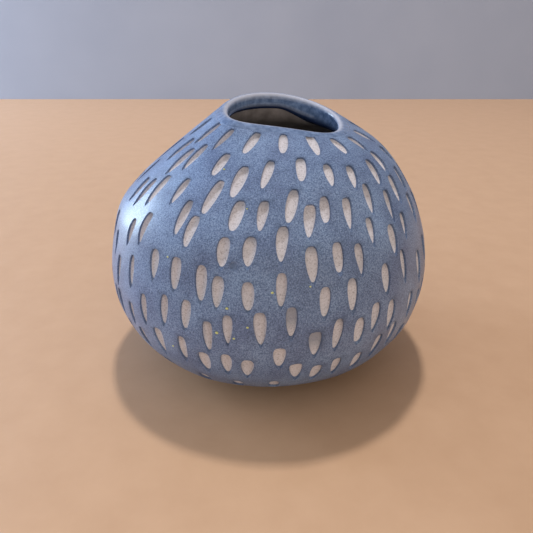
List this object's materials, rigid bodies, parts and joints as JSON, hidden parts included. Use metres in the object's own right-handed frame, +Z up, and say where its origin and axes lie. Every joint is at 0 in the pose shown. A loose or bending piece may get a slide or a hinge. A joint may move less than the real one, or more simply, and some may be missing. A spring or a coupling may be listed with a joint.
{
  "type": "ceramic bud vase",
  "caption": "Small lopsided pinched stoneware bud vase, blue slip outside carved with rows of seed-shaped marks, open mouth, flat foot.",
  "frame": {"origin": "middle of the flat foot, on the table", "axes": "+Z up through the mouth, +X to the right as seen from the front, front faces -Y"},
  "size_m": [0.0898, 0.0898, 0.0725],
  "materials": {
    "stoneware": "matte",
    "blue_slip": "satin",
    "lip_glaze": "gloss",
    "liner_glaze": "gloss"
  },
  "bodies": {
    "root": {"clay_body": "stoneware", "slip_coat": "blue_slip", "lip_glaze": "lip_glaze", "liner_glaze": "liner_glaze"}
  },
  "joints": []
}
